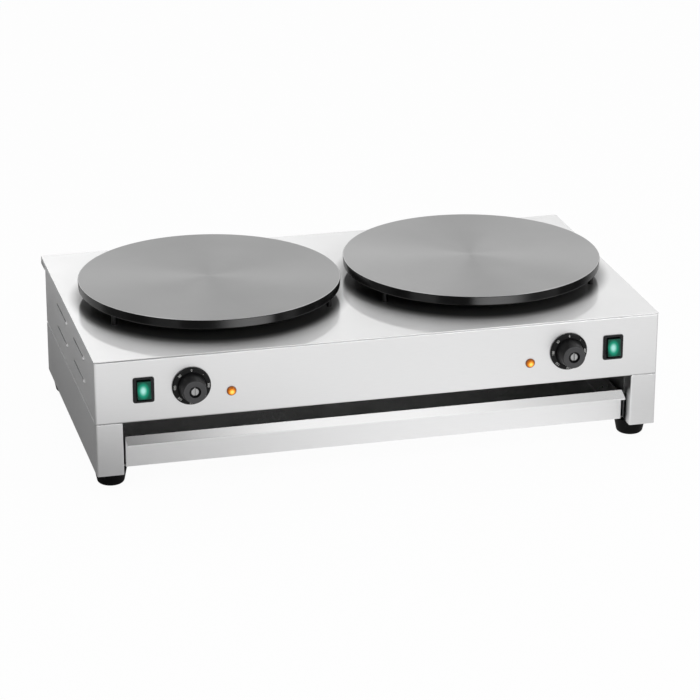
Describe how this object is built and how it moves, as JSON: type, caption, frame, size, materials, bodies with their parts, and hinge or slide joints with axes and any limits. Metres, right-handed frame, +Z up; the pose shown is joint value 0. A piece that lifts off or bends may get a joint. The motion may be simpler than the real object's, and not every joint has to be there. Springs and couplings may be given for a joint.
{
  "type": "electric crepe maker",
  "caption": "Countertop electric crepe maker: round cast-iron griddle plates side by side on a stainless housing with knobs, rocker switches, pilot lamps and a utensil drawer.",
  "frame": {"origin": "on the worktop, in the middle of the footprint of the overall box (cover and knobs)", "axes": "+X to the operator's right, -Y towards the operator, +Z up"},
  "size_m": [0.8622, 0.521, 0.2345],
  "materials": {
    "stainless": "fine satin stainless sheet",
    "tray_steel": "plain rolled stainless sheet",
    "cast_iron": "turned face, dark enamelled rim",
    "pan_steel": "heat-blackened steel",
    "element_sheath": "heat-darkened alloy sheath",
    "ceramic_fibre": "ceramic-fibre felt",
    "zinc_steel": "zinc-plated steel",
    "copper": "drawn copper capillary and bulb",
    "black_plastic": "moulded black plastic",
    "black_rubber": "moulded black rubber",
    "nylon": "natural nylon",
    "green_lens": "translucent green plastic, lit from inside",
    "amber_lens": "translucent amber plastic, lit from inside",
    "lamp_holder": "moulded plastic lamp holder",
    "ceramic": "glazed steatite"
  },
  "bodies": {
    "housing": {"top_cover": "stainless", "front_panel": "stainless", "left_side_panel": "stainless", "right_side_panel": "stainless", "rear_panel": "stainless", "housing_floor": "stainless", "left_base_frame": "stainless", "right_base_frame": "stainless", "left_drawer_guide": "stainless", "right_drawer_guide": "stainless", "rear_base_panel": "stainless", "left_griddle_plate": "cast_iron", "right_griddle_plate": "cast_iron", "left_heat_pan": "pan_steel", "right_heat_pan": "pan_steel", "left_element_clamp": "pan_steel", "right_element_clamp": "pan_steel", "left_heating_element": "element_sheath", "right_heating_element": "element_sheath", "left_insulation": "ceramic_fibre", "right_insulation": "ceramic_fibre", "plate_studs": "zinc_steel", "stud_nuts": "zinc_steel", "clamp_bolts": "zinc_steel", "thermostat_nuts": "zinc_steel", "frame_bolts": "zinc_steel", "rear_screws": "zinc_steel", "foot_screws": "zinc_steel", "foot_nuts": "zinc_steel", "left_thermostat": "zinc_steel", "right_thermostat": "zinc_steel", "left_temperature_sensor": "copper", "right_temperature_sensor": "copper", "left_switch_housing": "black_plastic", "right_switch_housing": "black_plastic", "cable_gland": "black_plastic", "gland_nut": "black_plastic", "front_left_foot": "black_rubber", "front_right_foot": "black_rubber", "rear_left_foot": "black_rubber", "rear_right_foot": "black_rubber", "drawer_stops": "nylon", "left_pilot_lens": "amber_lens", "right_pilot_lens": "amber_lens", "left_pilot_body": "lamp_holder", "right_pilot_body": "lamp_holder", "terminal_block": "ceramic"},
    "drawer": {"drawer_tray": "tray_steel", "drawer_front": "stainless", "drawer_glides": "nylon"},
    "left_control": {"left_knob": "black_plastic", "left_knob_collet": "zinc_steel", "left_thermostat_shaft": "zinc_steel"},
    "right_control": {"right_knob": "black_plastic", "right_knob_collet": "zinc_steel", "right_thermostat_shaft": "zinc_steel"},
    "left_switch": {"left_rocker": "green_lens"},
    "right_switch": {"right_rocker": "green_lens"}
  },
  "joints": [
    {"name": "drawer_slide", "type": "slide", "parent": "housing", "child": "drawer", "axis": [0, -1, 0], "range_m": [0, 0.3]},
    {"name": "left_knob_turn", "type": "hinge", "parent": "housing", "child": "left_control", "pos_m": [-0.2879, -0.2315, 0.155], "axis": [0, 1, 0], "range_deg": [0, 270]},
    {"name": "right_knob_turn", "type": "hinge", "parent": "housing", "child": "right_control", "pos_m": [0.2879, -0.2315, 0.155], "axis": [0, 1, 0], "range_deg": [0, 270]},
    {"name": "left_rocker_tilt", "type": "hinge", "parent": "housing", "child": "left_switch", "pos_m": [-0.3584, -0.2275, 0.155], "axis": [1, 0, 0], "range_deg": [0, 14]},
    {"name": "right_rocker_tilt", "type": "hinge", "parent": "housing", "child": "right_switch", "pos_m": [0.3584, -0.2275, 0.155], "axis": [1, 0, 0], "range_deg": [0, 14]}
  ]
}
